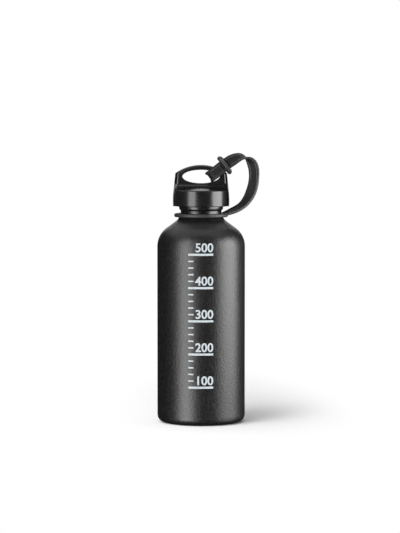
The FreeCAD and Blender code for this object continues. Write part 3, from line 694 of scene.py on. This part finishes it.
def lay_out(piece, places):
    """Give a mesh a UV map from one place in metres for each vertex."""
    corners = np.empty(len(piece.data.loops), dtype=int)
    piece.data.loops.foreach_get("vertex_index", corners)
    layer = piece.data.uv_layers.new(name="band")
    layer.data.foreach_set("uv", places.reshape(-1, 2)[corners].ravel())


def outward(piece):
    """Turn every face of a closed mesh outwards."""
    sheet = bmesh.new()
    sheet.from_mesh(piece.data)
    bmesh.ops.remove_doubles(sheet, verts=sheet.verts, dist=MERGE_DISTANCE)
    bmesh.ops.recalc_face_normals(sheet, faces=sheet.faces)
    sheet.to_mesh(piece.data)
    sheet.free()


print("grids are ready")

# %% [markdown]
# ## The ring on the neck
#
# The ring is a rubber band that was stretched over the lip and sits loose in the groove below it. Its
# section is a flat bar with well rounded edges. A bevelled cylinder would do, but a rounded section
# carried round the axis gives evenly spaced faces and one smooth highlight. On the real thing ring and
# strap are one moulding, so the strap starts inside the ring and needs no seam.

# %% Ring
RING_INNER = 0.0175
RING_LEVEL = 0.16778
RING_HEIGHT = 0.003
RING_ROUND = 0.0012
RING_STRETCH = 0.0004

ring_outer = -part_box("neck_ring")[0].x + RING_STRETCH


def ring_points(count=160, round_steps=8):
    """Rows round the axis by columns round a bar's section, whose four corners are quarter circles."""
    turn = np.linspace(0, math.pi / 2, round_steps)
    reach = (ring_outer - RING_INNER) / 2
    side = reach - RING_ROUND + RING_ROUND * np.cos(turn)
    rise = RING_HEIGHT / 2 - RING_ROUND + RING_ROUND * np.sin(turn)
    out = np.r_[side, -side[::-1], -side, side[::-1]] + (ring_outer + RING_INNER) / 2
    level = np.r_[rise, rise[::-1], -rise, -rise[::-1]] + RING_LEVEL
    angle = np.linspace(0, 2 * math.pi, count, endpoint=False)[:, None]
    return np.stack([out * np.cos(angle), out * np.sin(angle), level + 0 * angle], axis=-1)


points = ring_points()
ring = add_mesh("ring_band", points, loop_faces(*points.shape[:2]), strap_rubber)
outward(ring)
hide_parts("neck_ring")
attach(ring, "tether")
print("ring_band:", len(ring.data.polygons), "faces")

# %% [markdown]
# ## The strap
#
# The strap is one rubber moulding with the ring on the neck: a flat band with a raised rim along
# both edges. It leaves the ring, swings out and twists by a quarter turn on its way up, is pinched by
# the keeper, runs through the fin and comes back. A flat strip bent by a Curve modifier would be
# quick, but its twist is hard to place. Here the free run is a smooth curve through a few points,
# with the twist as a second curve along it. The loop is two straight layers and a half circle round
# the fin's sill. The band's section is worked out in its edge distance, so that the rims keep their
# width where the band narrows in the fold.

# %% Where the strap starts and ends
ROOT_BURY = 0.003
ROOT_RISE = 0.00055
ROOT_LENGTH = 0.0046
ROOT_ANGLE = math.radians(24)
LOOP_ANGLE = math.radians(36.4)

sideways = np.array([0.0, 1.0, 0.0])
keeper_low, keeper_high = (np.array(corner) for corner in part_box("strap_keeper"))
keeper_middle = (keeper_low + keeper_high) / 2
loop_way = np.array([-math.cos(LOOP_ANGLE), 0, -math.sin(LOOP_ANGLE)])
loop_side = -np.cross(sideways, loop_way)
root_way = np.array([math.cos(ROOT_ANGLE), 0, math.sin(ROOT_ANGLE)])
root_start = np.array([ring_outer - RING_STRETCH - ROOT_BURY, 0, RING_LEVEL + ROOT_RISE])
run_start = root_start + root_way * ROOT_LENGTH
print("strap: from", np.round(run_start, 4), "to the keeper at", np.round(keeper_middle, 4))


# %% A smooth curve
def smooth_curve(knots, steps, start_slope, end_slope):
    """A cubic through knots whose bend has no jumps: the slopes solve one small linear system, in
    which each inner slope balances the chords on both sides, and both end slopes are given."""
    spans = np.diff(steps)[:, None]
    chords = np.diff(knots, axis=0) / spans
    share = 1 / spans[:, 0]
    matrix = np.diag(np.r_[1, 2 * (share[:-1] + share[1:]), 1])
    matrix += np.diag(np.r_[share[:-1], 0], -1) + np.diag(np.r_[0, share[1:]], 1)
    wanted = 3 * (chords[:-1] / spans[:-1] + chords[1:] / spans[1:])
    slopes = np.linalg.solve(matrix, np.vstack([start_slope, wanted, end_slope]))

    def at(step):
        """Places and directions at many steps: the four cubic blends of places and slopes."""
        i = np.clip(np.searchsorted(steps, step) - 1, 0, len(spans) - 1)
        span = spans[i]
        u = (step - steps[i])[:, None] / span
        place = (1 + 2 * u) * (1 - u) ** 2 * knots[i] + (3 - 2 * u) * u**2 * knots[i + 1]
        place += span * u * (1 - u) * ((1 - u) * slopes[i] - u * slopes[i + 1])
        way = 6 * u * (1 - u) * chords[i] + (1 - u) * (1 - 3 * u) * slopes[i]
        return place, way + u * (3 * u - 2) * slopes[i + 1]

    return at


def unit(vectors):
    """Vectors of length one."""
    return vectors / np.linalg.norm(vectors, axis=-1, keepdims=True)


def length_along(places):
    """The way along a line of places, from zero at its start."""
    return np.r_[0, np.cumsum(np.linalg.norm(np.diff(places, axis=0), axis=1))]


print("curves are ready")

# %% Free run of the strap
LAYER_HALF = 0.0035
LOOP_LEAD = 0.0024
BAND_START = (0.0172, 0, 0.1685)
BAND_SLOPE = (1.0, 0, 0.2)
BAND_TILT = 8.0
ROOT_TILT = 18.0
KEEPER_TURN = -90.0
RUN_REACH = 0.0203
RUN_RISE = 0.0454
RUN_SHARES = (
    (0.488, 0.111),
    (0.875, 0.362),
    (0.995, 0.66),
    (0.85, 0.905),
    (0.52, 0.982),
    (0.17, 0.937),
)
RUN_TURNS = (30.0, 53.0, 51.0, 39.0, -22.0, -63.0)
RUN_ROWS = 120


def free_run():
    """The free run: centres, directions and turns in degrees from the ring's root to the keeper."""
    out, up = np.array(RUN_SHARES).T
    inner = np.stack([RUN_REACH * out, -LAYER_HALF * up, RUN_RISE * up], axis=-1)
    last = keeper_middle - LAYER_HALF * sideways - LOOP_LEAD * loop_way
    knots = np.vstack([BAND_START, run_start, run_start + inner, last])
    steps = length_along(knots)
    turns = np.array([BAND_TILT, ROOT_TILT, *RUN_TURNS, KEEPER_TURN])[:, None]
    along = np.linspace(0, steps[-1], RUN_ROWS, endpoint=False)
    centres, ways = smooth_curve(knots, steps, np.array(BAND_SLOPE), loop_way)(along)
    twist, rate = smooth_curve(turns, steps, np.zeros(1), np.zeros(1))(along)
    return centres, unit(ways), twist[:, 0]


run_centres, run_ways, run_turns = free_run()
print(f"free run: {length_along(run_centres)[-1] * 1000:.0f} mm, up to {run_turns.max():.0f} degrees")

# %% Loop through the fin
STRAP_WIDTH = 0.0096
STRAP_DEEP = 0.001
STRAP_CLEARANCE = 0.0004
FIN_FACE = 0.0035
LOOP_LENGTH = 0.016333
LOOP_SPREAD = 0.0036
KEEPER_HELD = 0.0015
TAIL_LENGTH = 0.0032
FOLD_WIDTH = 0.0094
FOLD_SHIFT = 0.0004
FOLD_FADE = 0.004
LAYER_ROWS, FOLD_ROWS = 26, 25


def fold_loop():
    """The loop: a layer that spreads after the keeper, a half circle, and the layer back. Gives its
    centres, directions, widths and how much of the fold's shape each row has."""
    apart = FIN_FACE + STRAP_CLEARANCE + STRAP_DEEP
    straight = LOOP_LENGTH - STRAP_DEEP - apart
    along = np.linspace(-LOOP_LEAD, straight, LAYER_ROWS, endpoint=False)
    share = np.clip((along - KEEPER_HELD) / LOOP_SPREAD, 0, 1)
    out = LAYER_HALF + (apart - LAYER_HALF) * share**2 * (3 - 2 * share)
    lean = (apart - LAYER_HALF) * 6 * share * (1 - share) / LOOP_SPREAD
    front = keeper_middle + along[:, None] * loop_way - out[:, None] * sideways
    front_way = unit(loop_way - lean[:, None] * sideways)
    angle = np.linspace(0, math.pi, FOLD_ROWS)[:, None]
    fold_middle = keeper_middle + straight * loop_way
    fold = fold_middle + apart * (np.sin(angle) * loop_way - np.cos(angle) * sideways)
    fold_way = np.cos(angle) * loop_way + np.sin(angle) * sideways
    back = front[::-1] * np.array([1, -1, 1])
    back_way = front_way[::-1] * np.array([-1, 1, -1])
    tail = keeper_middle - TAIL_LENGTH * loop_way + LAYER_HALF * sideways
    reach = np.clip(along / straight, 0, 1)
    reaches = np.r_[reach, np.ones(FOLD_ROWS), reach[::-1], 0]
    folded = np.clip((along - straight) / FOLD_FADE + 1, 0, 1)
    folds = np.r_[folded, np.ones(FOLD_ROWS), folded[::-1], 0]
    centres = np.vstack([front, fold, back, tail]) + FOLD_SHIFT * reaches[:, None] * loop_side
    ways = np.vstack([front_way, fold_way, back_way, -loop_way])
    return centres, ways, STRAP_WIDTH + (FOLD_WIDTH - STRAP_WIDTH) * reaches, folds


loop_centres, loop_ways, loop_widths, loop_folds = fold_loop()
print(f"loop: {length_along(loop_centres)[-1] * 1000:.0f} mm there and back")

# %% The band
BEAD_ROUND = 0.00045
RIM_WIDTH = 0.0008
RIM_SLOPE = 0.0008
RIM_RECESS = 0.00055
FOLD_RIM = 0.0006
EAR_WIDTH = 0.003


def band_quarter(round_steps=6, face_steps=16):
    """A quarter of the section as edge distance, height and fold share: a rounded corner, the bead's
    top, a soft step down to the recessed face. The fold's share is one sine hump beside the edge."""
    turn = np.linspace(0, math.pi / 2, round_steps)
    inside = np.linspace(BEAD_ROUND, EAR_WIDTH, face_steps)[1:]
    edge = np.r_[BEAD_ROUND * (1 - np.cos(turn)), inside]
    corner = STRAP_DEEP - BEAD_ROUND + BEAD_ROUND * np.sin(turn)
    step = np.clip((inside - RIM_WIDTH) / RIM_SLOPE, 0, 1)
    face = STRAP_DEEP - RIM_RECESS * step**2 * (3 - 2 * step)
    return edge, np.r_[corner, face], np.sin(math.pi * edge / EAR_WIDTH) ** 2


def width_lines():
    """The line across the band in each row: turned about the free run's way, and steady in the loop."""
    outwards = unit(np.cross(sideways, run_ways))
    nearer = np.cross(outwards, run_ways)
    angle = np.radians(run_turns)[:, None]
    turned = nearer * np.cos(angle) + outwards * np.sin(angle)
    return np.vstack([turned, np.repeat(loop_side[None], len(loop_centres), axis=0)])


def strap_points():
    """The band as rows along its line by columns round its section, and the way along and across."""
    centres = np.vstack([run_centres, loop_centres])
    widths = np.r_[np.full(RUN_ROWS, STRAP_WIDTH), loop_widths]
    folds = np.r_[np.zeros(RUN_ROWS), loop_folds]
    edge, height, share = band_quarter()
    across = widths[:, None] / 2 - edge
    right, left = across, -across[:, ::-1]
    spread = np.hstack([right, left, left[:, ::-1], right[:, ::-1]])
    bead = np.r_[share, share[::-1], 0 * share, 0 * share]
    rise = np.r_[height, height[::-1], -height, -height[::-1]] + FOLD_RIM * folds[:, None] * bead
    lines = width_lines()
    face_lines = np.cross(np.vstack([run_ways, loop_ways]), lines)
    sections = lines[:, None] * spread[..., None] + face_lines[:, None] * rise[..., None]
    steps = length_along(centres)
    print(f"strap: {steps[-1] * 1000:.0f} mm along its line")
    return centres[:, None] + sections, np.stack([steps[:, None] + 0 * spread, spread], axis=-1)


strap_grid, strap_places = strap_points()

# %% [markdown]
# ## The strap's two pieces
#
# The strap hangs on three moving things. Its root turns with the ring, the keeper rises with the plug
# as the cap is unscrewed, and the fold goes down with the cap when that is pressed. A blend joins two
# bodies only. So the band is cut in two inside the keeper, where nobody sees the cut, and
# both pieces share one row there.

# %% Strap pieces
KEEPER_ROW = RUN_ROWS + 2


def add_band(name, rows):
    """A stretch of the band as a closed mesh with its way along and across as a UV map."""
    points = strap_grid[rows]
    band = add_mesh(name, points, tube_faces(*points.shape[:2]), band_rubber)
    lay_out(band, strap_places[rows])
    outward(band)
    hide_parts("tether_strap")
    print(f"{name}: {len(band.data.polygons)} faces")
    return band


strap = add_band("strap_band", slice(None, KEEPER_ROW + 1))
loop = add_band("strap_loop", slice(KEEPER_ROW, None))
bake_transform(strap)
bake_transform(loop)

# %% [markdown]
# ## The keeper
#
# The keeper is a small moulded loop that holds both layers of the strap. Its bars are thin with a
# shallow groove along the outside, and its two ends swell to round knobs that fingers can push. The
# front bar leans a little way up the strap. A torus with knobs stuck on would show seams. Here one
# closed grid does it all: it runs round between an inner and an outer oval, and its section grows
# thicker and rounder towards the ends.

# %% Keeper
KEEPER_OUTER = (0.0086, 0.00635, 2.7)
KEEPER_INNER = (0.00505, 0.00475, 7.0)
KEEPER_BAR = 0.00125
KEEPER_KNOB = 0.00175
KEEPER_LEAN = 0.0012
BAR_SQUARENESS = 0.55
KNOB_SPAN = (0.0048, 0.0064)
GROOVE_DEPTH = 0.34
GROOVE_WIDTH = 0.42


def signed_power(value, power):
    """A power of a number's size that keeps its sign."""
    return np.sign(value) * np.abs(value) ** power


def power_oval(angle, half_wide, half_deep, power):
    """An oval between an ellipse and a rectangle: sine and cosine are raised to two over the power."""
    wide = half_wide * signed_power(np.cos(angle), 2 / power)
    return np.stack([wide, half_deep * signed_power(np.sin(angle), 2 / power)], axis=-1)


def keeper_points(count=144, columns=36):
    """Rows round the loop by columns round its section. A point goes from the inner oval to the outer
    one by half of one plus the section's cosine, and along the strap by its sine."""
    turn = (np.arange(count) + 0.5) * 2 * math.pi / count
    outer, inner = power_oval(turn, *KEEPER_OUTER), power_oval(turn, *KEEPER_INNER)
    knob = np.clip((np.abs(outer[:, :1]) - KNOB_SPAN[0]) / (KNOB_SPAN[1] - KNOB_SPAN[0]), 0, 1)
    knob = knob**2 * (3 - 2 * knob)
    section = np.arange(columns) * 2 * math.pi / columns
    squareness = BAR_SQUARENESS + (1 - BAR_SQUARENESS) * knob
    c = signed_power(np.cos(section), squareness)
    d = signed_power(np.sin(section), squareness)
    groove = GROOVE_DEPTH * np.exp(-((d / GROOVE_WIDTH) ** 2)) * np.clip(c, 0, 1) ** 3 * (1 - knob)
    share = (1 + c - groove) / 2
    flat = inner[:, None] + (outer - inner)[:, None] * share[..., None]
    thick = (KEEPER_BAR + (KEEPER_KNOB - KEEPER_BAR) * knob) * d
    thick = thick - KEEPER_LEAN * np.clip(-flat[..., 1] / KEEPER_OUTER[1], 0, 1)
    axes = np.stack([loop_side, sideways, loop_way])
    return keeper_middle + np.concatenate([flat, thick[..., None]], axis=-1) @ axes


points = keeper_points()
keeper = add_mesh("keeper_loop", points, loop_faces(*points.shape[:2]), keeper_rubber)
outward(keeper)
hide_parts("strap_keeper")
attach(keeper, "closure")
print("keeper_loop:", len(keeper.data.polygons), "faces")

# %% [markdown]
# ## The return spring
#
# Under the cap's ceiling a coil of steel wire stands on the plug's floor and lifts the cap out of its
# drive lugs. A stiff coil would be cut by the ceiling when the cap is pressed down. The wire is drawn
# once more as a round section carried up a helix, with its foot on the plug and its top on the cap.

# %% Spring coil
WIRE_RADIUS = 0.0006
SPRING_TURNS = 6
COIL_STEPS = 48

spring_low, spring_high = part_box("return_spring")
coil_foot, coil_head = spring_low.z + WIRE_RADIUS, spring_high.z - WIRE_RADIUS
coil_radius = spring_high.x - WIRE_RADIUS


def coil_points(columns=14):
    """Rows up a helix by columns round the wire. The wire's section stands across the helix: one side
    line points away from the axis, and the other is square to that and to the helix."""
    turn = np.linspace(0, 2 * math.pi * SPRING_TURNS, SPRING_TURNS * COIL_STEPS + 1)
    zero, climb = 0 * turn, (coil_head - coil_foot) / turn[-1]
    out = np.stack([np.cos(turn), np.sin(turn), zero], axis=-1)
    round_axis = np.stack([-np.sin(turn), np.cos(turn), zero], axis=-1)
    way = unit(coil_radius * round_axis + np.array([0, 0, climb]))
    centre = coil_radius * out + np.stack([zero, zero, coil_foot + climb * turn], axis=-1)
    round_wire = np.arange(columns) * 2 * math.pi / columns
    across = np.cross(way, out)
    ring = out[:, None] * np.cos(round_wire)[:, None] + across[:, None] * np.sin(round_wire)[:, None]
    return centre[:, None] + WIRE_RADIUS * ring


points = coil_points()
coil = add_mesh("spring_coil", points, tube_faces(*points.shape[:2]), spring_steel)
outward(coil)
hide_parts("return_spring")
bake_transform(coil)
print("spring_coil:", len(coil.data.polygons), "faces")

# %% [markdown]
# ## Screw threads
#
# The plug screws into the neck by a right-hand thread of 3 mm pitch, and each full turn lifts it by
# one pitch. A Screw modifier could wind both ridges, but it would end them bluntly. Here a flat-topped
# section is carried up a helix, and its height runs out to nothing at both ends. The neck's ridge
# stands half a turn, and so half a pitch, from the plug's, and they stay in mesh all the way up.

# %% Threads
PITCH = 0.003
THREAD_DEPTH = 0.0100
PLUG_RADII, PLUG_TOP = (0.0130, 0.01372), 0.0012
NECK_RADII, NECK_TOP = (0.0139, 0.01318), 0.0014
RIDGE_FOOT = 0.0016
RIDGE_CREST = 0.0007
RIDGE_SINK = 0.0001
RIDGE_LEAST = 0.02
RIDGE_STEP = math.radians(4)
RUN_OUT = math.radians(50)

rim_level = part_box("seal_ring")[0].z


def thread_ridge(name, radii, top, phase, material):
    """A ridge up a right-hand helix: its section goes from the root radius to the crest radius."""
    root, crest = radii
    low, high = rim_level - THREAD_DEPTH, rim_level - top
    turns = np.arange(0, 2 * math.pi * (high - low) / PITCH, RIDGE_STEP)
    ends = np.minimum(turns, turns[-1] - turns) / RUN_OUT
    share = np.clip(ends, RIDGE_LEAST, 1)
    share = share**2 * (3 - 2 * share)
    sink = RIDGE_SINK * np.sign(root - crest)
    reach = np.stack([np.full_like(turns, root + sink), root + (crest - root) * share], axis=-1)
    radius = reach[:, [0, 1, 1, 0]]
    halves = np.array([-RIDGE_FOOT, -RIDGE_CREST, RIDGE_CREST, RIDGE_FOOT]) / 2
    height = low + PITCH * turns[:, None] / (2 * math.pi) + halves
    angle = (turns + phase)[:, None] + np.zeros(4)
    points = np.stack([radius * np.cos(angle), radius * np.sin(angle), height], axis=-1)
    ridge = add_mesh(name, points, tube_faces(*points.shape[:2]), material)
    outward(ridge)
    return ridge


plug_finish, bottle_finish = (nodes[name].data.materials[0] for name in ("inner_cap", "bottle_shell"))
plug_thread = thread_ridge("plug_thread", PLUG_RADII, PLUG_TOP, 0.0, plug_finish)
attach(plug_thread, "closure")
neck_thread = thread_ridge("neck_thread", NECK_RADII, NECK_TOP, math.pi, bottle_finish)
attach(neck_thread, "bottle")
print("threads:", len(plug_thread.data.polygons), "and", len(neck_thread.data.polygons), "faces")

# %% [markdown]
# ## A printed fill scale
#
# The bottle carries a large pale print on its front. Here it is a plain fill scale: a short tick at
# each 20 ml, and a long tick with a number at each 100 ml. Their levels follow from the room inside
# the wall. A picture of a print would blur close by, so the ink is thin geometry. Ticks are thin
# plates bent round the wall. Numbers start as text, become a mesh, are cut into narrow strips so
# that they can bend, and are then wrapped round the same wall.

# %% Ink
INK_DEEP = 0.00002
INK_DARK = (0.345, 0.385, 0.410, 1)
INK_PALE = (0.405, 0.445, 0.470, 1)
INK_MOTTLE = 0.0009
INK_GRAIN = 0.00032
INK_RELIEF = 0.00004
BODY_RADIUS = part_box("bottle_shell")[1].x


def printed_ink():
    """Pale blue-grey screen ink: dull, with a faint mottle where it lies thin on the grain."""
    ink = Finish("pale_ink")
    mottle = ink.noise(INK_MOTTLE, detail=4.0)
    grain = ink.noise(INK_GRAIN, detail=3.0)
    ink.paint(
        {
            "Base Color": ink.blend(mottle, INK_DARK, INK_PALE),
            "Roughness": 0.5 + 0.15 * grain,
        }
    )
    ink.raise_surface(grain, INK_RELIEF)
    return ink.material


def wrapped(across, level, proud):
    """Flat places on the print, bent round the wall: the way across becomes an angle."""
    angle = across / BODY_RADIUS
    radius = BODY_RADIUS + proud
    return np.stack([radius * np.sin(angle), -radius * np.cos(angle), level], axis=-1)


pale_ink = printed_ink()
print(f"ink on a wall of {BODY_RADIUS * 1000:.1f} mm radius")

# %% Ticks
LEVEL_COUNT = 5
LEVEL_OF_100 = 0.0314
LEVEL_STEP = 0.02657
TICKS_PER_STEP = 5
TICK_ROWS = 20
SCALE_LEFT, SCALE_RIGHT = -0.0104, 0.0098
LONG_TICK = (SCALE_RIGHT - SCALE_LEFT, 0.0017)
SHORT_TICK = (0.0042, 0.0011)


def scale_ticks():
    """All ticks as one mesh: for each tick, rows across it by four columns round its section."""
    count = np.arange((LEVEL_COUNT - 1) * TICKS_PER_STEP + 1)
    long = count % TICKS_PER_STEP == 0
    level = LEVEL_OF_100 + LEVEL_STEP * count / TICKS_PER_STEP
    width = np.where(long, LONG_TICK[0], SHORT_TICK[0])
    height = np.where(long, LONG_TICK[1], SHORT_TICK[1])
    across = SCALE_LEFT + width[:, None] * np.linspace(0, 1, TICK_ROWS)
    above = np.array([-0.5, -0.5, 0.5, 0.5]) * height[:, None]
    proud = np.array([-INK_DEEP, INK_DEEP, INK_DEEP, -INK_DEEP])
    shape = (len(count), TICK_ROWS, len(proud))
    places = [across[:, :, None], (level[:, None] + above)[:, None, :], proud]
    points = wrapped(*(np.broadcast_to(place, shape) for place in places))
    faces = [tube_faces(*shape[1:], first) for first in count * shape[1] * shape[2]]
    return points, np.concatenate(faces)


ticks = add_mesh("scale_ticks", *scale_ticks(), pale_ink)
outward(ticks)
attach(ticks, "bottle")
print("scale_ticks:", len(ticks.data.polygons), "faces")

# %% Numbers
NUMBER_SIZE = 0.0098
NUMBER_WEIGHT = 0.022
NUMBER_LIFT = 0.0022
STRIP_WIDTH = 0.0006


def vertex_places(mesh):
    """All vertices of a mesh as one array of rows x, y, z."""
    places = np.empty(len(mesh.vertices) * 3)
    mesh.vertices.foreach_get("co", places)
    return places.reshape(-1, 3)


def number_mesh(words):
    """A number as a mesh of narrow strips on the flat, its left lower corner at zero."""
    text = bpy.data.curves.new("number", "FONT")
    text.body = words
    text.size = NUMBER_SIZE
    text.offset = NUMBER_WEIGHT * NUMBER_SIZE
    text.extrude = INK_DEEP
    text.resolution_u = 6
    flat = bpy.data.objects.new("number", text)
    mesh = bpy.data.meshes.new_from_object(flat)
    sheet = bmesh.new()
    sheet.from_mesh(mesh)
    bmesh.ops.remove_doubles(sheet, verts=sheet.verts, dist=MERGE_DISTANCE)
    for cut in np.arange(0, vertex_places(mesh)[:, 0].max(), STRIP_WIDTH):
        whole = sheet.verts[:] + sheet.edges[:] + sheet.faces[:]
        bmesh.ops.bisect_plane(sheet, geom=whole, plane_co=(cut, 0, 0), plane_no=(1, 0, 0))
    bmesh.ops.triangulate(sheet, faces=sheet.faces)
    sheet.to_mesh(mesh)
    sheet.free()
    bpy.data.objects.remove(flat)
    return mesh


def wrap_number(words, level):
    """A number wrapped on the wall, above its tick and flush with the scale's right end."""
    mesh = number_mesh(words)
    x, y, z = vertex_places(mesh).T
    across = SCALE_RIGHT - x.max() + x
    mesh.vertices.foreach_set("co", wrapped(across, level + NUMBER_LIFT + y, z).ravel())
    mesh.materials.append(pale_ink)
    number = bpy.data.objects.new(f"scale_{words}", mesh)
    scene.collection.objects.link(number)
    outward(number)
    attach(number, "bottle")
    return number


for step in range(LEVEL_COUNT):
    number = wrap_number(str(100 * (step + 1)), LEVEL_OF_100 + LEVEL_STEP * step)
    print(number.name, len(number.data.polygons), "faces")
